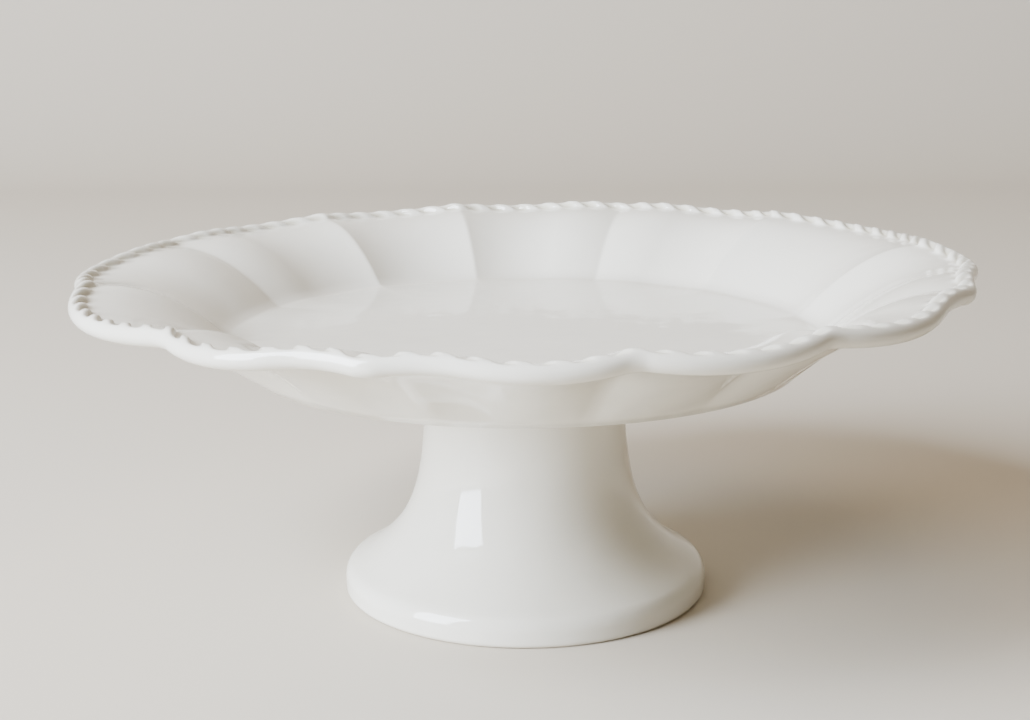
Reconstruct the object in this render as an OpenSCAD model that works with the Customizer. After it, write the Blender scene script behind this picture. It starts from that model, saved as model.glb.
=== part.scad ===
// Footed cake stand in glazed stoneware.
// A scalloped, fluted plate stands on a hollow flared pedestal, and the two are luted
// together with a ring of slip. +Z is up. The origin is the centre of the foot, on the table.

/* [Pedestal] */
// Height of the pedestal, from the table to its top end
pedestal_h = 85.6; // [70:0.1:140]
// Outer radius of the foot
foot_r = 64; // [54:0.5:84]
// Radius of the round between the foot's edge and the flare
shoulder_r = 6; // [3:0.5:8]
// Height at which the flare would reach the foot's outer radius
shoulder_h = 9; // [7:0.5:14]
// Radius of the small round along the bottom of the foot
foot_edge_r = 2; // [1:0.1:2.5]
// Height over which the flare narrows to about a third
flare_h = 14.4; // [10:0.1:20]
// Outer radius of the stem at its top
stem_r = 34.8; // [26:0.1:44]
// Height of the straight collar at the top of the stem
collar_h = 6; // [5:0.5:12]
// Wall of the pedestal
pedestal_wall = 5.5; // [4:0.1:8]

/* [Slip joint] */
// Thickness of the slip between the pedestal's end and the plate
slip_t = 0.8; // [0.4:0.1:1.5]
// Radius of the cove of slip around the outside of the joint
cove_r = 3.8; // [2:0.1:5]
// Clearance between the plate's locating ridge and the pedestal's bore
ridge_gap = 0.7; // [0.3:0.1:1.5]
// Height of the plate's locating ridge
ridge_h = 2; // [1:0.1:3]
// Width of the plate's locating ridge
ridge_w = 3.6; // [2:0.1:5]

/* [Plate] */
// Radius of the flat floor, where the wall begins
floor_r = 101.5; // [80:0.5:130]
// Thickness of the floor
floor_t = 6; // [5:0.1:9]
// Width of the wall, from the floor's edge to the inside of the rolled rim
wall_w = 44.7; // [34:0.1:60]
// Height of the centre of the rolled rim above the floor
rim_rise = 20.8; // [14:0.1:28]
// Thickness of the wall where it meets the rolled rim
rim_wall = 4.1; // [3:0.1:5]
// Radius of the rolled rim's round edge
bead_r = 3.3; // [2.5:0.1:4.5]

/* [Foot ring under the plate] */
// How far the foot ring stands below the plate's underside
ring_drop = 3.9; // [2:0.1:6]
// Width of the flat on the foot ring's bottom
ring_w = 3.6; // [2:0.1:6]
// How far the foot ring's outer edge lies inside the edge of the floor
ring_inset = 6.6; // [4:0.1:12]

/* [Scallops] */
// How far the lobes swing out and the notches swing in at the rim
scallop_swing = 2.4; // [1:0.1:4]
// How far the lobes dip and the notches lift at the rim
scallop_dip = 1.1; // [0:0.1:2]
// Share of the swing that the flutes have where they leave the floor
flute_start = 0.5; // [0.2:0.05:1]

/* [Hidden] */
$fn = 96;

glaze_white = "#e9e8e2";
slip_white = "#dcd9cf";

// Heights that the pieces share
plate_z = pedestal_h + slip_t;
floor_z = plate_z + floor_t;
rim_z = floor_z + rim_rise;
ring_z = plate_z - ring_drop;
bore_r = stem_r - pedestal_wall;
ridge_r = bore_r - ridge_gap;

// ---------------------------------------------------------------- scallops
// The rim has twelve sectors, and a crease at each end of each sector. Every third crease
// is a cusp, and the others are notches. The pattern repeats four times: a bracket, which
// is a cusp between two notches, and then a plain lobe one sector wide. The pattern angle
// counts 30 degrees to a sector, so a bracket reaches 30 degrees to either side of its cusp.
quarter = 90;
bracket_half = 30;
lobe_half = quarter / 2 - bracket_half;
// The creases are shaped by hand and unevenly spaced. These are their directions, from a
// cusp on, counted from +X.
crease_turns = [73.5, 101, 124.5, 154.5, 190.5, 226, 253.5, 281.5, 305, 338, 371, 406, 433.5];
crease_table = [for (i = [0 : len(crease_turns) - 1]) [30 * i, crease_turns[i]]];
dent_at = 0.22;     // place of the hollow beside the cusp, as a share of bracket_half
crest_at = 0.65;    // place of the shoulder lobe, as a share of bracket_half
dent_depth = -0.85; // swing in the hollow, from -1 at a notch to 1 on a plain lobe
crest_depth = 0.8;  // swing on the shoulder lobe
// The shoulder is a parabola that falls to -1 at the notch, and the hollow is the
// parabola that joins it without a corner.
crest_k = (1 + crest_depth) / pow(1 - crest_at, 2);
join_k = (crest_depth - dent_depth) / pow(crest_at - dent_at, 2);
dent_k = join_k * crest_k / (crest_k - join_k);
join_at = dent_at + (crest_at - dent_at) * crest_k / (crest_k + dent_k);

function from_cusp(a) = abs(((a + quarter / 2) % quarter) - quarter / 2);
function bracket(t) = t < join_at
    ? dent_depth + dent_k * pow(t - dent_at, 2)
    : crest_depth - crest_k * pow(t - crest_at, 2);
function lobe(u) = 1 - 2 * u * u;
function scallop(a) = from_cusp(a) <= bracket_half
    ? bracket(from_cusp(a) / bracket_half)
    : lobe((from_cusp(a) - quarter / 2) / lobe_half);

// ---------------------------------------------------------------- wall of the plate
// Both faces of the wall rise steeply from the floor and level out at the rim.
function rise(x, power) = 1 - pow(1 - x, power);
inner_power = 2;
outer_power = 1.65;
wall_lift = 0.9;                            // the wall meets the rim a little above its centre
ring_outer = floor_r - ring_inset;
rim_in = floor_r + wall_w;
bead_at = rim_in + bead_r * 0.8;
inner_rise = rim_rise + wall_lift;
outer_rise = rim_z + wall_lift - rim_wall - ring_z;

function inner_z(r) = floor_z + inner_rise * rise((r - floor_r) / wall_w, inner_power);
function outer_z(r) = ring_z + outer_rise * rise((r - ring_outer) / (rim_in - ring_outer), outer_power);
function flute(r) = let (x = max(0, (r - floor_r) / wall_w))
    flute_start + (1 - flute_start) * rise(min(x, 1), inner_power);

// One point of the wall at pattern angle a: lobes swing out and dip, notches swing in and lift.
function wall_point(a, r, z) =
    let (s = scallop(a) * flute(r), swung = r + scallop_swing * s, turn = lookup(a, crease_table))
    [swung * cos(turn), swung * sin(turn), z - scallop_dip * s];

root_in = 3.2;                              // the wall's hidden root, inside the floor slab
inner_steps = [0.06, 0.15, 0.26, 0.39, 0.54, 0.71, 0.88];
outer_steps = [0.9, 0.74, 0.58, 0.43, 0.3, 0.19, 0.1];
bead_angles = [for (b = [155 : -30 : -145]) b];
root_top = [floor_r - root_in, inner_z(floor_r - root_in)];
root_under = [floor_r - root_in, outer_z(floor_r - root_in) + 2.4];
// The wall's section, from its root over the rim and back, as [radius, height]
wall_section = concat(
    [root_top],
    [for (x = inner_steps) [floor_r + wall_w * x, inner_z(floor_r + wall_w * x)]],
    [for (b = bead_angles) [bead_at + bead_r * cos(b), rim_z + bead_r * sin(b)]],
    [for (x = outer_steps) let (r = ring_outer + (rim_in - ring_outer) * x) if (r > floor_r + 1.5) [r, outer_z(r)]],
    [root_under]);

sector_steps = 8;                           // steps in each sector, so creases fall on a step
around = 12 * sector_steps;

module fluted_wall() {
    sections = len(wall_section);
    points = [for (i = [0 : around - 1], p = wall_section) wall_point(360 * i / around, p[0], p[1])];
    function id(i, j) = (i % around) * sections + (j % sections);
    polyhedron(points, [for (i = [0 : around - 1], j = [0 : sections - 1], half = [0, 1])
        half == 0 ? [id(i, j), id(i + 1, j + 1), id(i, j + 1)] : [id(i, j), id(i + 1, j), id(i + 1, j + 1)]]);
}

// ---------------------------------------------------------------- plate
slab_r = floor_r + 1;                       // the slab ends inside the wall
module plate() {
    slab_section = concat(
        [[0, floor_z], [0, plate_z], [ridge_r - ridge_w, plate_z],
         [ridge_r - ridge_w + 0.6, plate_z - ridge_h], [ridge_r, plate_z - ridge_h], [ridge_r, plate_z],
         [ring_outer - ring_w - 4, plate_z], [ring_outer - ring_w - 1, ring_z + 0.5],
         [ring_outer - ring_w, ring_z], [ring_outer - 0.8, ring_z]],
        [for (r = [ring_outer : 1.5 : floor_r]) [r, outer_z(r) + 0.3]],
        [[slab_r, outer_z(slab_r) + 2], [slab_r, floor_z - 1.2], [floor_r - 0.5, floor_z]]);
    color(glaze_white) union() {
        rotate_extrude() polygon(slab_section);
        fluted_wall();
    }
}

// ---------------------------------------------------------------- slip ring
module slip_ring() {
    cove = [for (b = [180 : -18 : 90]) [stem_r + cove_r * (1 + cos(b)), plate_z - cove_r * (1 - sin(b))]];
    color(slip_white) rotate_extrude() polygon(concat(
        [[ridge_r, plate_z], [ridge_r, plate_z - ridge_h], [bore_r, plate_z - ridge_h],
         [bore_r, pedestal_h], [stem_r, pedestal_h]],
        cove));
}

// ---------------------------------------------------------------- pedestal
// The flare falls away exponentially, from the foot's radius to the straight collar.
flare_top = pedestal_h - collar_h;
flare_end = exp(-(flare_top - shoulder_h) / flare_h);
flare_width = (foot_r - stem_r) / (1 - flare_end);
function flare(z) = stem_r + flare_width * (exp(-(z - shoulder_h) / flare_h) - flare_end);
function flare_slope(z) = -flare_width / flare_h * exp(-(z - shoulder_h) / flare_h);
function flare_inside(z) = let (n = norm([1, flare_slope(z)]))
    [flare(z) - pedestal_wall / n, z + pedestal_wall * flare_slope(z) / n];

module pedestal() {
    // The shoulder's round touches the upright edge and the flare's tangent
    lean = atan(-1 / flare_slope(shoulder_h));
    reach = shoulder_r * tan((90 - lean) / 2);
    shoulder_z = shoulder_h - reach;
    shoulder = [for (b = [0 : 10 : 90 - lean]) [foot_r - shoulder_r * (1 - cos(b)), shoulder_z + shoulder_r * sin(b)]];
    flare_start = shoulder_h + reach * sin(lean) + 0.8;
    flare_steps = 14;
    // Steps are closer together where the curve turns faster
    heights = [for (i = [0 : flare_steps]) flare_start + (flare_top - flare_start) * pow(i / flare_steps, 1.6)];
    outside = [for (z = heights) [flare(z), z]];
    inside = [for (i = [flare_steps : -1 : 0]) flare_inside(heights[i])];
    foot_in = inside[flare_steps][0];
    bottom_edge = [for (b = [-90 : 30 : 0])
        [foot_r - foot_edge_r * (1 - cos(b)), foot_edge_r * (1 + sin(b))]];
    color(glaze_white) rotate_extrude() polygon(concat(
        [[foot_in + 0.8, 0]], bottom_edge, shoulder, outside,
        [[stem_r, pedestal_h], [bore_r, pedestal_h]],
        inside, [[foot_in, 0.8]]));
}

plate();
slip_ring();
pedestal();
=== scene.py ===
"""Looks for a footed cake stand: white gloss glaze on a fluted plate with a beaded, rolled
rim, luted to a hollow flared pedestal. Laid out as an add-on and run as a script."""

import math

import bpy
import numpy as np
from mathutils import Matrix, Vector


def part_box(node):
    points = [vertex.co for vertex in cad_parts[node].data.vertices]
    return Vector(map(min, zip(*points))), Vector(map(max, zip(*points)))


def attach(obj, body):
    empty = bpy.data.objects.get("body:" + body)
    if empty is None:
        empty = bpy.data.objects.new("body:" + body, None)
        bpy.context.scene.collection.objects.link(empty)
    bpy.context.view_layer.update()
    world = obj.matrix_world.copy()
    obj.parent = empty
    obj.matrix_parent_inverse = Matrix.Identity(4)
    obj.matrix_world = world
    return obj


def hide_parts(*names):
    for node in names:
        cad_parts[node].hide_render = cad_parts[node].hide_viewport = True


bl_info = {
    "name": "Glazed Cake Stand",
    "version": (1, 0, 0),
    "blender": (4, 5, 0),
    "location": "3D View > Sidebar > Cake Stand",
    "description": "Builds a glazed, fluted cake stand round its packed frame",
    "category": "Add Mesh",
}

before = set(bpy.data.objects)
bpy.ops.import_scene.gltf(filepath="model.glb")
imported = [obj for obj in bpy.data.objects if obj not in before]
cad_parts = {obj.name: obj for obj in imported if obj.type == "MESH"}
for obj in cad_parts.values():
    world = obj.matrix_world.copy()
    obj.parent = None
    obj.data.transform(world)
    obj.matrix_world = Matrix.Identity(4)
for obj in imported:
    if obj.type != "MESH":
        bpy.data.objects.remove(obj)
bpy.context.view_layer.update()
foot_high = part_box("pedestal")[1]

MM = 0.001
# Sizes of the luted joint: the slip lies between the pedestal's top and the plate, the ridge
# under the plate stands in the pedestal's bore, and a cove of slip goes round the stem
SLIP, RIDGE_DROP = 0.8 * MM, 2 * MM
STEM_R, BORE_R, RIDGE_R, COVE_R = 34.8 * MM, 29.3 * MM, 28.6 * MM, 3.8 * MM


# ------------------------------------------------------------------ sizes and colours
class StandSizes(bpy.types.PropertyGroup):
    """Sizes of the stand that a user would change."""

    plate_underside: bpy.props.FloatProperty(
        name="Underside Height",
        description="Height of the plate's underside above the table",
        default=foot_high[2] + SLIP,
        unit="LENGTH",
    )
    floor_thickness: bpy.props.FloatProperty(
        name="Floor Thickness",
        description="Thickness of the plate's flat floor",
        default=6.0 * MM,
        unit="LENGTH",
    )
    floor_radius: bpy.props.FloatProperty(
        name="Floor Radius",
        description="Radius of the flat floor, out to the foot of the wall",
        default=101.5 * MM,
        unit="LENGTH",
    )
    rim_radius: bpy.props.FloatProperty(
        name="Rim Radius",
        description="Mean radius of the middle of the rolled rim",
        default=148.84 * MM,
        unit="LENGTH",
    )
    rim_rise: bpy.props.FloatProperty(
        name="Rim Rise",
        description="Height of the middle of the rolled rim above the floor",
        default=20.8 * MM,
        unit="LENGTH",
    )
    rim_warp: bpy.props.FloatProperty(
        name="Rim Warp",
        description="How far firing lifted the rim on the +X side and lowered it on the other",
        default=1.8 * MM,
        unit="LENGTH",
    )
    bead_radius: bpy.props.FloatProperty(
        name="Rolled Rim Radius",
        description="Radius of the round of the rolled rim",
        default=3.3 * MM,
        unit="LENGTH",
    )
    beads: bpy.props.IntProperty(
        name="Beads",
        description="Number of pressed hollows all the way round the rim",
        default=92,
        min=48,
        max=120,
    )
    bead_depth: bpy.props.FloatProperty(
        name="Bead Depth",
        description="Depth of each pressed hollow along the rim",
        default=2.0 * MM,
        unit="LENGTH",
    )


class StandColours(bpy.types.PropertyGroup):
    """Colours of the stand that a user would change."""

    glaze: bpy.props.StringProperty(
        name="Glaze", description="White of the glaze, as sRGB hex", default="#EBE6D9"
    )
    # Painted shade: a darker white put into the beads' hollows and the cove under the plate,
    # for the shade there as well as for pooled glaze
    pooled_glaze_and_shade: bpy.props.StringProperty(
        name="Pooled Glaze",
        description="Colour where the glaze lies thick in a hollow, as sRGB hex",
        default="#C9C2AE",
    )
    bare_clay: bpy.props.StringProperty(
        name="Bare Clay",
        description="Colour of the unglazed clay under the foot, as sRGB hex",
        default="#D8CFBE",
    )
    floor: bpy.props.StringProperty(
        name="Studio Floor",
        description="Colour of the plain studio floor, as sRGB hex",
        default="#CBC1B0",
    )


# ------------------------------------------------------------------ small tools
def linear(code, alpha=1.0):
    """An sRGB hex value as linear red, green, blue and alpha."""
    parts = [int(code[i : i + 2], 16) / 255 for i in (1, 3, 5)]
    return (
        *(c / 12.92 if c <= 0.04045 else ((c + 0.055) / 1.055) ** 2.4 for c in parts),
        alpha,
    )


def add(tree, kind, inputs=None, **settings):
    """Adds a node with its settings. An input is a value or another node's socket."""
    node = tree.nodes.new(kind)
    for key, value in settings.items():
        setattr(node, key, value)
    for key, value in (inputs or {}).items():
        if isinstance(value, bpy.types.NodeSocket):
            tree.links.new(value, node.inputs[key])
        else:
            node.inputs[key].default_value = value
    return node


def smooth(a, b, x):
    """0 below a, 1 above b, and an even S-curve in between."""
    t = np.clip((x - a) / (b - a), 0.0, 1.0)
    return t * t * (3 - 2 * t)


def turned_mesh(name, points, pooling_and_shade, poles):
    """A skin from an array of points [round, along]. Each row goes from the first pole to
    the last, or back to its own start, and the rows close up round the axis. Faces point
    outwards when a row has the solid on its left, seen with the axis on the left. poles is a
    pair of points, or None where the section is a loop. pooling_and_shade goes into the
    attribute glaze_pool_and_shade, one number for each point: its share of the darker white,
    which is painted shade in the hollows as well as pooled glaze."""
    rounds, along = points.shape[:2]
    i = np.arange(rounds)[:, None]
    j = np.arange(along - 1 if poles else along)[None, :]
    after, across = (i + 1) % rounds, (j + 1) % along
    quads = np.stack(
        [i * along + j, after * along + j, after * along + across, i * along + across], -1
    ).reshape(-1, 4)
    corners, pool_and_shade = points.reshape(-1, 3), pooling_and_shade.reshape(-1)
    faces = quads.tolist()
    if poles:
        ring = np.arange(rounds)
        nxt = (ring + 1) % rounds
        first, last = len(corners), len(corners) + 1
        faces += np.stack([np.full(rounds, first), nxt * along, ring * along], -1).tolist()
        faces += np.stack(
            [ring * along + along - 1, nxt * along + along - 1, np.full(rounds, last)], -1
        ).tolist()
        corners = np.vstack([corners, poles])
        pool_and_shade = np.append(pool_and_shade, [0.0, 0.0])
    mesh = bpy.data.meshes.new(name)
    mesh.from_pydata(corners.tolist(), [], faces)
    mesh.attributes.new("glaze_pool_and_shade", "FLOAT", "POINT").data.foreach_set("value", pool_and_shade)
    mesh.shade_smooth()
    mesh.update()
    piece = bpy.data.objects.new(name, mesh)
    bpy.context.scene.collection.objects.link(piece)
    return piece


def arc(centre, radius, start, end, count):
    """count points on an arc in the section, by angle from outwards, in degrees."""
    a = np.radians(np.linspace(start, end, count))
    return np.stack([centre[0] + radius * np.cos(a), centre[1] + radius * np.sin(a)], -1)


def turned_points(section, rounds):
    """Points [round, along] of a section (radius, height) carried round the axis: each is
    radius * cos, radius * sin and the height."""
    turn = np.arange(rounds)[:, None] * (2 * np.pi / rounds)
    r, z = section[None, :, 0], section[None, :, 1]
    return np.stack([r * np.cos(turn), r * np.sin(turn), z + 0 * turn], -1)


def fit_piece(piece, node, material):
    """Stands the piece for its CAD node and gives it its material."""
    piece.data.materials.append(material)
    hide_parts(node)
    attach(piece, "root")


# ------------------------------------------------------------------ glaze
def white_gloss_glaze(colours, name, bare_foot):
    """White gloss glaze over stoneware, fired: a hard, glassy skin a few tenths of a
    millimetre thick over a pale body. It gives sharp, slightly rippled reflections. A greyer,
    warmer white is painted into the hollows, as painted shade there as well as pooled glaze.
    bare_foot leaves the clay unglazed where the foot meets the table."""
    material = bpy.data.materials.new(name)
    material.use_nodes = True
    tree = material.node_tree
    shader = tree.nodes["Principled BSDF"]
    place = add(tree, "ShaderNodeTexCoord").outputs["Object"]
    # Painted shade: each point's share of the darker white in the hollows, for the shade there
    # as well as pooled glaze
    pool_and_shade = add(tree, "ShaderNodeAttribute", attribute_name="glaze_pool_and_shade").outputs["Fac"]
    # Thickness of the glaze drifts over about 60 mm. The drift counts half, and the painted
    # shade with pooled glaze in the hollows counts all.
    drift = add(
        tree, "ShaderNodeTexNoise", {"Vector": place, "Scale": 16.0, "Detail": 2.0}
    ).outputs["Fac"]
    thick = add(
        tree,
        "ShaderNodeMath",
        {0: drift, 1: 0.5, 2: pool_and_shade},
        operation="MULTIPLY_ADD",
        use_clamp=True,
    ).outputs[0]
    # The mix towards the darker white is the random drift of the glaze's thickness plus the
    # painted shade in the hollows
    shade = add(tree, "ShaderNodeMix", {"Factor": thick}, data_type="RGBA")
    shade.inputs[6].default_value = linear(colours.glaze)
    shade.inputs[7].default_value = linear(colours.pooled_glaze_and_shade)
    colour = shade.outputs[2]
    # The glassy skin ripples over about 12 mm and is faintly dimpled over about 1.5 mm
    ripple = add(
        tree, "ShaderNodeTexNoise", {"Vector": place, "Scale": 80.0, "Detail": 1.0}
    ).outputs["Fac"]
    dimple = add(
        tree, "ShaderNodeTexNoise", {"Vector": place, "Scale": 650.0, "Detail": 0.0}
    ).outputs["Fac"]
    waves = add(
        tree,
        "ShaderNodeBump",
        {"Strength": 0.6, "Distance": 0.3 * MM, "Height": ripple},
    ).outputs[0]
    skin = add(
        tree,
        "ShaderNodeBump",
        {"Strength": 0.2, "Distance": 0.02 * MM, "Height": dimple, "Normal": waves},
    ).outputs[0]
    tree.links.new(skin, shader.inputs["Normal"])
    gloss, matt = 0.07, 0.8
    if bare_foot:
        # Bare clay below about 0.7 mm, with an uneven edge to the glaze
        height = add(tree, "ShaderNodeSeparateXYZ", {0: place}).outputs["Z"]
        edge = add(
            tree,
            "ShaderNodeMath",
            {0: drift, 1: -1.2 * MM, 2: height},
            operation="MULTIPLY_ADD",
        ).outputs[0]
        bare = add(
            tree,
            "ShaderNodeMapRange",
            {
                "Value": edge,
                "From Min": -0.1 * MM,
                "From Max": 0.3 * MM,
                "To Min": 1.0,
                "To Max": 0.0,
            },
        ).outputs[0]
        clay = add(tree, "ShaderNodeMix", {"Factor": bare}, data_type="RGBA")
        tree.links.new(colour, clay.inputs[6])
        clay.inputs[7].default_value = linear(colours.bare_clay)
        colour = clay.outputs[2]
        rough = add(
            tree,
            "ShaderNodeMapRange",
            {"Value": bare, "To Min": gloss, "To Max": matt},
        ).outputs[0]
        tree.links.new(rough, shader.inputs["Roughness"])
    else:
        shader.inputs["Roughness"].default_value = gloss
    tree.links.new(colour, shader.inputs["Base Color"])
    shader.inputs["IOR"].default_value = 1.52
    return material


# ------------------------------------------------------------------ scallops
# The rim has twelve sectors with a crease at each end. Every third crease is a cusp, the
# others are notches. The pattern angle counts 30 degrees to a sector from the first cusp.
SECTOR, QUARTER = 30.0, 90.0
# Half the width of the plain lobe between two brackets
HALF_LOBE = QUARTER / 2 - SECTOR
# Directions of the creases from +X, from that cusp on. They are unevenly spaced.
CREASES = (73.5, 101, 124.5, 154.5, 190.5, 226, 253.5, 281.5, 305, 338, 371, 406, 433.5)
SECTORS = len(CREASES) - 1
# A bracket's hollow and shoulder: place as a share of the bracket's half, and swing
DENT_AT, DENT, CREST_AT, CREST = 0.22, -0.85, 0.65, 0.8


def scallop(angle):
    """Swing of the rim at each pattern angle, from -1 at a notch to 1 on a lobe. The pattern
    repeats each 90 degrees. Out to 30 degrees either side of a cusp it is a bracket: a
    parabola round a hollow joined without a corner to a parabola over a shoulder that
    falls to the notch. Between brackets it is one parabola, 30 degrees wide."""
    crest_k = (1 + CREST) / (1 - CREST_AT) ** 2
    join_k = (CREST - DENT) / (CREST_AT - DENT_AT) ** 2
    dent_k = join_k * crest_k / (crest_k - join_k)
    join_at = DENT_AT + (CREST_AT - DENT_AT) * crest_k / (crest_k + dent_k)
    away = np.abs((angle + QUARTER / 2) % QUARTER - QUARTER / 2)
    t = away / SECTOR
    bracket = np.where(
        t < join_at,
        DENT + dent_k * (t - DENT_AT) ** 2,
        CREST - crest_k * (t - CREST_AT) ** 2,
    )
    lobe = 1 - 2 * ((away - QUARTER / 2) / HALF_LOBE) ** 2
    return np.where(away <= SECTOR, bracket, lobe)


# ------------------------------------------------------------------ plate
# The rolled rim's round goes over the top from the wall's inside to its outside. Angles are
# from outwards, in degrees.
ROLL_START, ROLL_END, ROLL_POINTS = 158, -122, 29
# A bead's hollow is pressed in at this angle of the roll, and reaches this far either side
PRESS_AT, PRESS_REACH = 112, 56


def wall_span(sizes):
    """Radii of the wall's foot, at the floor's edge, and of its end, within the roll."""
    return sizes.floor_radius, sizes.rim_radius - 0.8 * sizes.bead_radius


def plate_section(sizes):
    """The plate's section as points (radius, height), from the middle of the floor out over
    the roll and back to the middle of the underside. With it go each point's share of the
    scallops' swing and the slice of points on the roll. The inside climbs as 1 - (1 - x)^2,
    where x is 0 at the wall's foot and 1 at its end, and the share goes from a half to one
    in the same way. The outside climbs as 1 - (1 - x)^1.65 from the foot ring's edge."""
    under, floor = sizes.plate_underside, sizes.plate_underside + sizes.floor_thickness
    floor_r, wall_end = wall_span(sizes)
    rim_z, inner_rise = floor + sizes.rim_rise, sizes.rim_rise + 0.9 * MM
    ring_z, ring_outer = under - 3.9 * MM, floor_r - 6.6 * MM
    outer_rise = rim_z - 3.2 * MM - ring_z
    foot_share, outer_bend, outer_end = 0.5, 1.65, 0.93
    inner_rows, outer_rows = 22, 14
    # The swing starts this far out on the floor, and outside it is full from this far out
    floor_still, outer_full = 90 * MM, 103 * MM

    def share(r):
        x = np.clip((r - floor_r) / (wall_end - floor_r), 0, 1)
        return foot_share + (1 - foot_share) * (1 - (1 - x) ** 2)

    flat_r = np.array([8, 40, 75, 92, 98, 99.6]) * MM
    flat = np.stack([flat_r, np.full(len(flat_r), floor)], -1)
    flat_share = smooth(floor_still, floor_r, flat_r) * foot_share

    # The inside of the wall has a low, soft edge round its foot
    x = np.linspace(0, 1, inner_rows) ** 0.9
    edge_rise, edge_width = 0.35 * MM, 0.03
    edge = edge_rise * np.exp(-((x / edge_width) ** 2))
    r = floor_r + (wall_end - floor_r) * x
    inside = np.stack([r, floor + inner_rise * (1 - (1 - x) ** 2) + edge], -1)[:-1]
    inside_share = share(r)[:-1]

    roll = arc((sizes.rim_radius, rim_z), sizes.bead_radius, ROLL_START, ROLL_END, ROLL_POINTS)

    # The outside of the wall goes down to the foot ring and loses its swing on the way
    x = np.linspace(outer_end, 0.0, outer_rows)
    r = ring_outer + (wall_end - ring_outer) * x
    outside = np.stack([r, ring_z + outer_rise * (1 - (1 - x) ** outer_bend)], -1)
    outside_share = share(r) * smooth(ring_outer, outer_full, r)

    # Foot ring from its outer edge, then the flat underside, then the ridge. They are in mm
    # from the ring's edge, the axis and the ridge's edge, and from the underside.
    ring = [[-0.4, -3.9], [-1.8, -3.9], [-3.2, -3.9], [-3.8, -3.5], [-4.8, -1.6]]
    ring += [[-5.8, -0.5], [-7.4, -0.1]]
    ridge = [[0.4, 0.0], [-0.2, -0.3], [-0.6, -1.8], [-1.2, -2.0], [-3.0, -2.0]]
    ridge += [[-3.6, -1.7], [-4.0, -0.2], [-4.6, 0.0]]
    low = np.vstack(
        [
            np.array(ring) * MM + [ring_outer, under],
            np.array([[60.0, 0.0], [34.0, 0.0]]) * MM + [0, under],
            np.array(ridge) * MM + [RIDGE_R, under],
            np.array([[8.0, 0.0]]) * MM + [0, under],
        ]
    )

    section = np.vstack([flat, inside, roll, outside, low])
    weight = np.concatenate(
        [flat_share, inside_share, np.ones(ROLL_POINTS), outside_share, np.zeros(len(low))]
    )
    first = len(flat) + len(inside)
    return section, weight, slice(first, first + ROLL_POINTS)


class CAKESTAND_OT_plate(bpy.types.Operator):
    """Builds the fluted plate with its beaded, rolled rim"""

    bl_idname = "cakestand.plate"
    bl_label = "Plate"

    def execute(self, context):
        sizes = context.scene.cake_stand_sizes
        section, weight, roll = plate_section(sizes)
        # A lobe stands out by the swing and hangs lower by the dip
        swing, dip = 2.4 * MM, 1.1 * MM

        # Rows are evenly spaced in the pattern, so each crease falls on a row
        rounds = SECTORS * sizes.beads
        pattern = np.arange(rounds) * (360.0 / rounds)
        angle = np.interp(pattern, SECTOR * np.arange(SECTORS + 1), CREASES)
        sharp = scallop(pattern)[:, None]

        # The glaze rounds the creases by a row on the inside of the wall, and the roll and
        # the outside are rounded by five. A rounded swing is the mean over nearby rows.
        def rounded(rows):
            shifts = range(-rows, rows + 1)
            return sum(np.roll(sharp, k, axis=0) for k in shifts) / len(shifts)

        outside = smooth(roll.start - 6, roll.start + 8, np.arange(len(section)))[None, :]
        swung = (rounded(1) * (1 - outside) + rounded(5) * outside) * weight[None, :]
        r = section[None, :, 0] + swing * swung
        z = section[None, :, 1] - dip * swung

        # Beads: each hollow is pressed into the roll's top on its inner side. Its depth is a
        # rounded trough along the rim times a rounded window over the roll. The trough's
        # half width and its slant are shares of the pitch.
        half_width, slant = 0.33, 0.3
        roll_angles = np.linspace(ROLL_START, ROLL_END, ROLL_POINTS)
        tilt = np.clip((roll_angles - PRESS_AT) / PRESS_REACH, -1, 1)
        window = (1 - tilt**2) ** 0.8
        phase = (angle[:, None] - CREASES[0]) * sizes.beads / 360.0 + slant * tilt[None, :]
        across = (phase % 1.0 - 0.5) / half_width
        trough = np.clip(1 - across**2, 0, None)
        press = sizes.bead_depth * trough * window[None, :]
        a = np.radians(roll_angles)[None, :]
        r[:, roll] -= press * np.cos(a)
        z[:, roll] -= press * np.sin(a)
        # Painted shade: each hollow is coloured darker as deep as it is pressed, for the shade
        # in it as well as pooled glaze
        pooling_and_shade = np.zeros_like(r)
        pooling_and_shade[:, roll] = press / sizes.bead_depth

        # The warp grows from nothing at the wall's foot to its full height at the rim
        turn = np.radians(angle)[:, None]
        z += sizes.rim_warp * np.cos(turn) * smooth(*wall_span(sizes), r)
        points = np.stack([r * np.cos(turn), r * np.sin(turn), z], -1)
        # The skin runs from the underside to the floor, so that its faces point outwards
        under, floor = sizes.plate_underside, sizes.plate_underside + sizes.floor_thickness
        piece = turned_mesh(
            "plate_glazed", points[:, ::-1], pooling_and_shade[:, ::-1], [[0, 0, under], [0, 0, floor]]
        )
        fit_piece(
            piece,
            "plate",
            white_gloss_glaze(context.scene.cake_stand_colours, "plate_glaze", False),
        )
        return {"FINISHED"}


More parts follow.
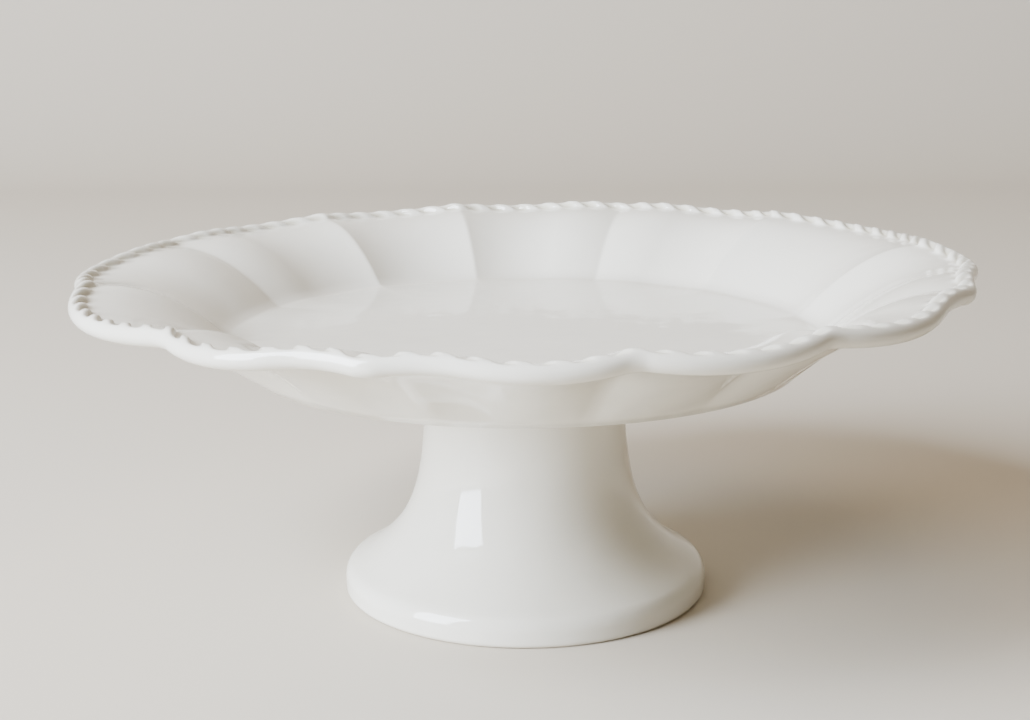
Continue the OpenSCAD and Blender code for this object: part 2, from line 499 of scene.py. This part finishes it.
# ------------------------------------------------------------------ pedestal
class CAKESTAND_OT_pedestal(bpy.types.Operator):
    """Builds the hollow, flared pedestal"""

    bl_idname = "cakestand.pedestal"
    bl_label = "Pedestal"

    def execute(self, context):
        # The outside narrows from the foot to the stem as exp(-height / fall), between the
        # shoulder and the collar. The wall's thickness is measured square to the outside.
        top, foot, wall, fall = foot_high[2], foot_high[0], 5.5 * MM, 14.4 * MM
        shoulder_z, shoulder_round, collar_z = 9 * MM, 6 * MM, top - 6 * MM
        foot_round, inner_round = 2 * MM, 1.2 * MM
        # The top's edges are bevelled this far down and this far in
        bevel_z, bevel_r = 1 * MM, 0.4 * MM
        end = math.exp(-(collar_z - shoulder_z) / fall)
        wide = (foot - STEM_R) / (1 - end)

        def flare(z):
            return STEM_R + wide * (np.exp(-(z - shoulder_z) / fall) - end)

        def slope(z):
            return -wide / fall * np.exp(-(z - shoulder_z) / fall)

        # The shoulder's round touches the foot's side and the flare's tangent, which leans
        # this far from level
        lean = math.degrees(math.atan(-1 / slope(shoulder_z)))
        reach = shoulder_round * math.tan(math.radians((90 - lean) / 2))
        shoulder_middle = (foot - shoulder_round, shoulder_z - reach)
        shoulder = arc(shoulder_middle, shoulder_round, 0, 90 - lean, 12)
        # The flare's rows start just above the round, and lie closer there
        start = shoulder_z + reach * math.sin(math.radians(lean)) + 0.4 * MM
        z = start + (collar_z - start) * np.linspace(0, 1, 48) ** 1.4
        outside = np.stack([flare(z), z], -1)
        tilt = np.sqrt(1 + slope(z) ** 2)
        inside = np.stack([flare(z) - wall / tilt, z + wall * slope(z) / tilt], -1)[::-1]
        foot_edge = arc((foot - foot_round, foot_round), foot_round, -90, 0, 10)
        inner_middle = (inside[-1][0] + inner_round, inner_round)
        section = np.vstack(
            [
                arc(inner_middle, inner_round, 180, 270, 6),
                foot_edge,
                shoulder,
                outside,
                [[STEM_R, top - bevel_z], [STEM_R - bevel_r, top]],
                [[BORE_R + bevel_r, top], [BORE_R, top - bevel_z]],
                inside,
            ]
        )
        points = turned_points(section, 256)
        piece = turned_mesh("pedestal_glazed", points, np.zeros(points.shape[:2]), None)
        fit_piece(
            piece,
            "pedestal",
            white_gloss_glaze(context.scene.cake_stand_colours, "pedestal_glaze", True),
        )
        return {"FINISHED"}


# ------------------------------------------------------------------ slip ring
class CAKESTAND_OT_slip_ring(bpy.types.Operator):
    """Builds the ring of glazed slip that joins the pedestal to the plate"""

    bl_idname = "cakestand.slip_ring"
    bl_label = "Slip Ring"

    def execute(self, context):
        under, top = context.scene.cake_stand_sizes.plate_underside, foot_high[2]
        # The outside is a quarter-round hollow that touches the stem and the underside
        cove = arc((STEM_R + COVE_R, under - COVE_R), COVE_R, 180, 90, 20)
        section = np.vstack(
            [
                cove,
                [[RIDGE_R, under], [RIDGE_R, under - RIDGE_DROP]],
                [[BORE_R, under - RIDGE_DROP], [BORE_R, top], [STEM_R, top]],
            ]
        )
        points = turned_points(section, 192)
        # The cove is painted a little darker, for the shade in it as well as pooled glaze
        pooling_and_shade = np.zeros(points.shape[:2])
        pooling_and_shade[:, : len(cove)] = 0.3
        piece = turned_mesh("slip_ring_glazed", points, pooling_and_shade, None)
        fit_piece(
            piece,
            "slip_ring",
            white_gloss_glaze(context.scene.cake_stand_colours, "slip_glaze", False),
        )
        return {"FINISHED"}


# ------------------------------------------------------------------ studio
def soft_light(name, place, aim, width, height, power, colour, mirrored):
    """A rectangular soft light that faces the point aim. Only a mirrored one shows as a
    highlight on the glaze."""
    data = bpy.data.lights.new(name, "AREA")
    data.shape, data.size, data.size_y = "RECTANGLE", width, height
    data.energy, data.color = power, linear(colour)[:3]
    light = bpy.data.objects.new(name, data)
    light.visible_glossy = mirrored
    light.location = place
    light.rotation_mode = "QUATERNION"
    light.rotation_quaternion = (Vector(aim) - Vector(place)).to_track_quat("-Z", "Y")
    bpy.context.scene.collection.objects.link(light)


class CAKESTAND_OT_studio(bpy.types.Operator):
    """Builds the floor, the lights and the camera"""

    bl_idname = "cakestand.studio"
    bl_label = "Studio"

    def execute(self, context):
        scene = context.scene
        colours = scene.cake_stand_colours
        # A seamless sweep: a floor from near to far, a quarter round, and a wall
        near, far, bend, high, side = -4.0, 1.1, 0.5, 3.0, 4.0
        a = np.radians(np.linspace(-90, 0, 24))
        y = np.concatenate([[near], far + bend * np.cos(a), [far + bend]])
        z = np.concatenate([[0.0], bend + bend * np.sin(a), [high]])
        points = [(x, v, w) for v, w in zip(y, z) for x in (-side, side)]
        faces = [(2 * k, 2 * k + 1, 2 * k + 3, 2 * k + 2) for k in range(len(y) - 1)]
        mesh = bpy.data.meshes.new("studio_sweep")
        mesh.from_pydata(points, [], faces)
        mesh.shade_smooth()
        sweep = bpy.data.objects.new("studio_sweep", mesh)
        scene.collection.objects.link(sweep)
        paint = bpy.data.materials.new("studio_paint")
        paint.use_nodes = True
        shader = paint.node_tree.nodes["Principled BSDF"]
        shader.inputs["Base Color"].default_value = linear(colours.floor)
        matt = 0.75
        shader.inputs["Roughness"].default_value = matt
        mesh.materials.append(paint)

        middle = (0, 0, 0.07)
        soft_light("window_light", (-1.45, -0.9, 0.9), middle, 0.9, 1.9, 215, "#E3EEFF", True)
        soft_light("room_light", (-0.3, 0.0, 2.2), middle, 1.6, 1.6, 20, "#FFE6C6", False)

        world = bpy.data.worlds.new("studio_air")
        world.use_nodes = True
        air = world.node_tree.nodes["Background"]
        air.inputs["Color"].default_value = linear("#F5E4C8")
        air.inputs["Strength"].default_value = 0.15
        scene.world = world

        data = bpy.data.cameras.new("camera")
        data.sensor_width, data.lens = 36.0, 60.6
        camera = bpy.data.objects.new("camera", data)
        # It looks along +Y, pitched down and turned and rolled by a fraction of a degree
        eye = (-0.00026, -0.5894, 0.2166)
        pitch, yaw, roll = math.radians(12.905), -0.0052, -0.0060
        ahead = Vector(
            (
                math.sin(yaw) * math.cos(pitch),
                math.cos(yaw) * math.cos(pitch),
                -math.sin(pitch),
            )
        )
        level = Vector((math.cos(yaw), -math.sin(yaw), 0))
        up = level.cross(ahead)
        right = level * math.cos(roll) + up * math.sin(roll)
        up = up * math.cos(roll) - level * math.sin(roll)
        turn = Matrix((right, up, -ahead)).transposed().to_4x4()
        camera.matrix_world = Matrix.Translation(eye) @ turn
        scene.collection.objects.link(camera)
        scene.camera = camera
        return {"FINISHED"}


class CAKESTAND_PT_panel(bpy.types.Panel):
    """Lists the stand's pieces, sizes and colours"""

    bl_label = "Cake Stand"
    bl_idname = "CAKESTAND_PT_panel"
    bl_space_type = "VIEW_3D"
    bl_region_type = "UI"
    bl_category = "Cake Stand"

    def draw(self, context):
        layout = self.layout
        for settings in (context.scene.cake_stand_sizes, context.scene.cake_stand_colours):
            for key in settings.__annotations__:
                layout.prop(settings, key)
        for piece in PIECES:
            layout.operator(piece.bl_idname)


PIECES = (
    CAKESTAND_OT_plate,
    CAKESTAND_OT_slip_ring,
    CAKESTAND_OT_pedestal,
    CAKESTAND_OT_studio,
)
CLASSES = (StandSizes, StandColours, *PIECES, CAKESTAND_PT_panel)


def register():
    for cls in CLASSES:
        bpy.utils.register_class(cls)
    bpy.types.Scene.cake_stand_sizes = bpy.props.PointerProperty(type=StandSizes)
    bpy.types.Scene.cake_stand_colours = bpy.props.PointerProperty(type=StandColours)


def unregister():
    del bpy.types.Scene.cake_stand_colours
    del bpy.types.Scene.cake_stand_sizes
    for cls in reversed(CLASSES):
        bpy.utils.unregister_class(cls)


def main():
    register()
    bpy.ops.cakestand.studio()
    bpy.ops.cakestand.plate()
    bpy.ops.cakestand.slip_ring()
    bpy.ops.cakestand.pedestal()


if __name__ == "__main__":
    main()
